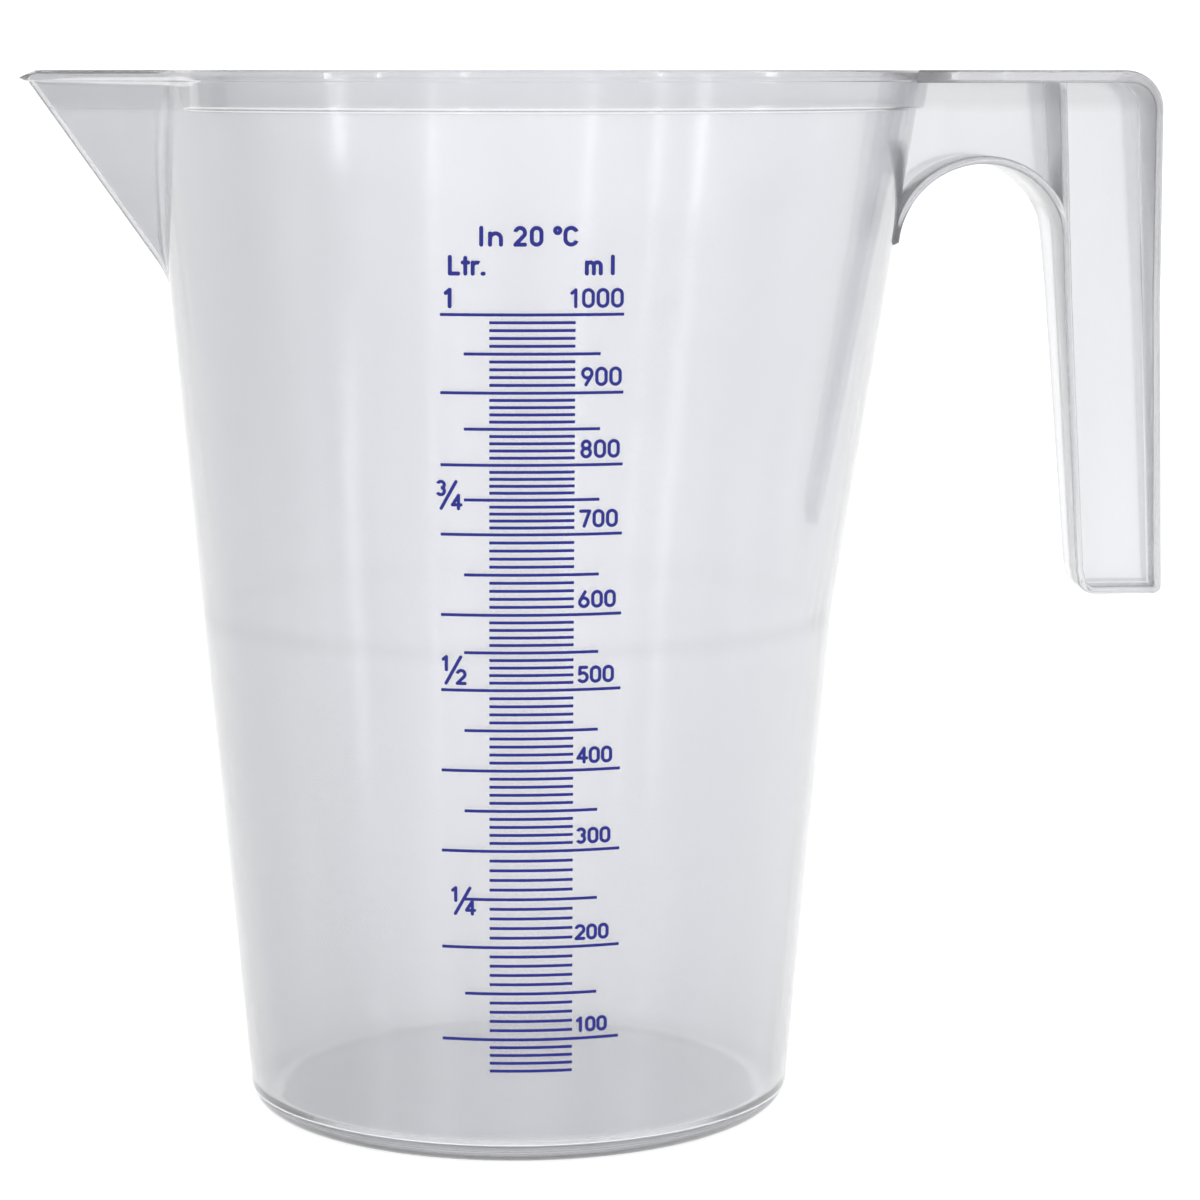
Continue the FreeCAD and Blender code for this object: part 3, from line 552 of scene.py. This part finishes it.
def calculated(material, operation, first, second=None):
    """A Math node over one or two values, each a socket or a number."""
    node = material.node_tree.nodes.new("ShaderNodeMath")
    node.operation = operation
    for index, term in enumerate((first, second)):
        if isinstance(term, float):
            node.inputs[index].default_value = term
        elif term is not None:
            material.node_tree.links.new(term, node.inputs[index])
    return node.outputs["Value"]


def flow_marks_and_painted_streaks(material, place):
    """Noise drawn out upwards, as the melt flows up the wall of the mould; it also gives the colour painted
    streaks of reflected strip light.
    """
    nodes = material.node_tree.nodes
    stretch = nodes.new("ShaderNodeMapping")
    stretch.inputs["Scale"].default_value = (75.0, 75.0, 4.0)
    flow_and_streak_noise = nodes.new("ShaderNodeTexNoise")
    flow_and_streak_noise.inputs["Scale"].default_value = 1.0
    flow_and_streak_noise.inputs["Detail"].default_value = 3.0
    material.node_tree.links.new(place, stretch.inputs["Vector"])
    material.node_tree.links.new(stretch.outputs["Vector"], flow_and_streak_noise.inputs["Vector"])
    return flow_and_streak_noise.outputs["Fac"]


def painted_shade_by_place(material, axes):
    """The product of all the painted shade ramps by place and of the thin line of painted shade along the
    crease.
    """
    from_crease = calculated(material, "SUBTRACT", axes["Z"], CREASE_HEIGHT * MM)
    away = calculated(material, "ABSOLUTE", from_crease)
    painted_shade_factor = ramp(material, away, (0.0, CREASE_LINE_HALF_HEIGHT), (CREASE_LINE_PAINTED_SHADE, 1.0))
    for axis, stretch, values in PAINTED_SHADE_RAMPS.values():
        part = ramp(material, axes[axis], stretch, values)
        painted_shade_factor = calculated(material, "MULTIPLY", painted_shade_factor, part)
    return painted_shade_factor


def polypropylene():
    """Natural polypropylene: see-through but cloudy, with faint upright flow marks in its bump and streaks
    of painted reflection in its colour.

    Its colour is darkened in painted shade towards the foot and the spout, in the collar and the handle and
    in a thin line along the crease; it is rougher in the handle, and darker where light crosses more of it.
    """
    material, shader = node_material("natural_polypropylene")
    nodes = material.node_tree.nodes
    links = material.node_tree.links
    shader.inputs["IOR"].default_value = 1.49
    shader.inputs["Transmission Weight"].default_value = 0.88
    shader.inputs["Coat Weight"].default_value = 0.25
    shader.inputs["Coat Roughness"].default_value = 0.035
    place = nodes.new("ShaderNodeTexCoord").outputs["Object"]
    flow_and_streak_noise = flow_marks_and_painted_streaks(material, place)
    # Painted reflection: the upright noise lightens and darkens the colour in streaks that stand in for
    # reflections of the strip lights.
    painted_streak_tint = nodes.new("ShaderNodeValToRGB")
    dark_streak_end, light_streak_end = painted_streak_tint.color_ramp.elements
    dark_streak_end.position = 0.3
    dark_streak_end.color = (0.843, 0.848, 0.873, 1.0)
    light_streak_end.position = 0.7
    light_streak_end.color = (0.903, 0.908, 0.932, 1.0)
    links.new(flow_and_streak_noise, painted_streak_tint.inputs["Fac"])

    axes = nodes.new("ShaderNodeSeparateXYZ")
    links.new(place, axes.inputs["Vector"])
    # The streaked colour, darkened by the painted shade by place.
    streaked_and_shaded = nodes.new("ShaderNodeVectorMath")
    streaked_and_shaded.operation = "SCALE"
    links.new(painted_streak_tint.outputs["Color"], streaked_and_shaded.inputs["Vector"])
    links.new(painted_shade_by_place(material, axes.outputs), streaked_and_shaded.inputs["Scale"])
    links.new(streaked_and_shaded.outputs["Vector"], shader.inputs["Base Color"])
    roughness = ramp(material, axes.outputs["X"], HANDLE_START, (WALL_ROUGHNESS, HANDLE_ROUGHNESS))
    links.new(roughness, shader.inputs["Roughness"])

    bump = nodes.new("ShaderNodeBump")
    bump.inputs["Strength"].default_value = 0.13
    bump.inputs["Distance"].default_value = 0.0006
    links.new(flow_and_streak_noise, bump.inputs["Height"])
    links.new(bump.outputs["Normal"], shader.inputs["Normal"])

    depth = nodes.new("ShaderNodeVolumeAbsorption")
    depth.inputs["Color"].default_value = (0.6, 0.6, 0.64, 1.0)
    depth.inputs["Density"].default_value = 13.0
    links.new(depth.outputs["Volume"], nodes["Material Output"].inputs["Volume"])
    return material


def scale_ink():
    """Opaque dark blue screen-printing ink."""
    material, shader = node_material("screen_print_ink")
    shader.inputs["Base Color"].default_value = (0.016, 0.02, 0.2, 1.0)
    shader.inputs["Roughness"].default_value = 0.5
    shader.inputs["Specular IOR Level"].default_value = 0.2
    return material


def backdrop_paper():
    """Pale paper that glows a little, so that it stays white all round the jug."""
    material, shader = node_material("backdrop_paper")
    shader.inputs["Base Color"].default_value = (0.6, 0.6, 0.6, 1.0)
    shader.inputs["Roughness"].default_value = 0.8
    shader.inputs["Emission Color"].default_value = (1.0, 1.0, 1.0, 1.0)
    shader.inputs["Emission Strength"].default_value = 0.7
    return material


# ---- pieces ----

plastic = polypropylene()

vessel = make_vessel(plastic)
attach(vessel, "root")
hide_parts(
    "vessel_floor",
    "base_corner",
    "foot_ring",
    "lower_wall",
    "upper_wall",
    "rim_collar",
    "pouring_spout",
    "spout_lip",
)

handle = make_handle(plastic)
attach(handle, "root")
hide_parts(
    "handle_top_strap",
    "handle_back_flange",
    "grip_bottom_flange",
    "grip_finger_flange",
    "handle_arch_flange",
    "handle_bridge_web",
    "handle_cross_rib",
    "grip_web",
)

ink = scale_ink()
for name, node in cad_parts.items():
    if name.startswith("scale_"):
        node.data.materials.clear()
        node.data.materials.append(ink)


# ---- studio ----

# Sizes here are in metres. Each strip: degrees round from the front, distance, width and power.
STRIPS = {
    "left_strip": (-62.0, 1.1, 0.05, 1.5),
    "left_edge_strip": (-46.0, 1.2, 0.03, 0.9),
    "front_strip": (-22.0, 1.2, 0.05, 1.0),
    "right_front_strip": (32.0, 1.2, 0.03, 0.9),
    "right_strip": (66.0, 1.1, 0.08, 2.2),
}
STRIP_LENGTH = 1.2
STRIP_HEIGHT = 0.5
JUG_MIDDLE = (0.0, 0.0, 0.09)


def make_sweep(material):
    """A round seamless sheet: a level floor that curves up into a low wall all round the jug."""
    floor_radius, bend, wall_top, sides = 2.6, 1.0, 1.7, 96
    profile = [(r, 0.0) for r in steps_between(0.3, floor_radius, 0.8)]
    profile += arc_points((floor_radius, bend), bend, -90, 0, 16)[1:]
    profile.append((floor_radius + bend, wall_top))
    turns = [math.tau * i / sides for i in range(sides)]
    rings = [[(0.0, 0.0, 0.0)]]
    rings += [[(r / MM * math.cos(t), r / MM * math.sin(t), z / MM) for t in turns] for r, z in profile]
    points, faces = loft(rings, closed_ends=False)
    return add_mesh("sweep", points, faces, material)


def add_area_light(name, place, size, power):
    """A rectangular light that faces the middle of the jug."""
    data = bpy.data.lights.new(name, "AREA")
    data.shape = "RECTANGLE"
    data.size, data.size_y = size
    data.energy = power
    lamp = bpy.data.objects.new(name, data)
    lamp.location = place
    lamp.rotation_euler = (Vector(JUG_MIDDLE) - Vector(place)).to_track_quat("-Z", "Y").to_euler()
    bpy.context.scene.collection.objects.link(lamp)


def add_strips():
    """Tall narrow lights round the front, whose reflections run down the wall as soft streaks."""
    for name, (degrees, away, width, power) in STRIPS.items():
        turn = math.radians(degrees)
        place = (away * math.sin(turn), -away * math.cos(turn), STRIP_HEIGHT)
        add_area_light(name, place, (width, STRIP_LENGTH), power)


def add_world(strength):
    """Even white light from everywhere."""
    world = bpy.data.worlds.new("studio_air")
    world.use_nodes = True
    background = world.node_tree.nodes["Background"]
    background.inputs["Color"].default_value = (1.0, 1.0, 1.0, 1.0)
    background.inputs["Strength"].default_value = strength
    bpy.context.scene.world = world


def add_camera():
    """Level with the rim, a little to the left of the printed front, looking slightly down."""
    data = bpy.data.cameras.new("camera")
    data.lens = 113.16
    data.sensor_width = 36.0
    camera = bpy.data.objects.new("camera", data)
    distance = 615.16 * MM
    height = 169.6 * MM
    round_by = math.radians(2.3)
    turn = math.radians(3.5626)
    pitch = math.radians(8.0076)
    camera.location = (-distance * math.sin(round_by), -distance * math.cos(round_by), height)
    ahead = Vector((math.sin(turn) * math.cos(pitch), math.cos(turn) * math.cos(pitch), -math.sin(pitch)))
    camera.rotation_euler = ahead.to_track_quat("-Z", "Y").to_euler()
    bpy.context.scene.collection.objects.link(camera)
    bpy.context.scene.camera = camera


sweep = make_sweep(backdrop_paper())
add_world(0.48)
add_strips()
add_area_light("top_box", (0.0, 0.2, 1.3), (1.2, 1.2), 3.6)
add_camera()

scene = bpy.context.scene
scene.view_settings.view_transform = "Standard"
scene.cycles.max_bounces = 12
scene.cycles.transmission_bounces = 11
scene.cycles.transparent_max_bounces = 12
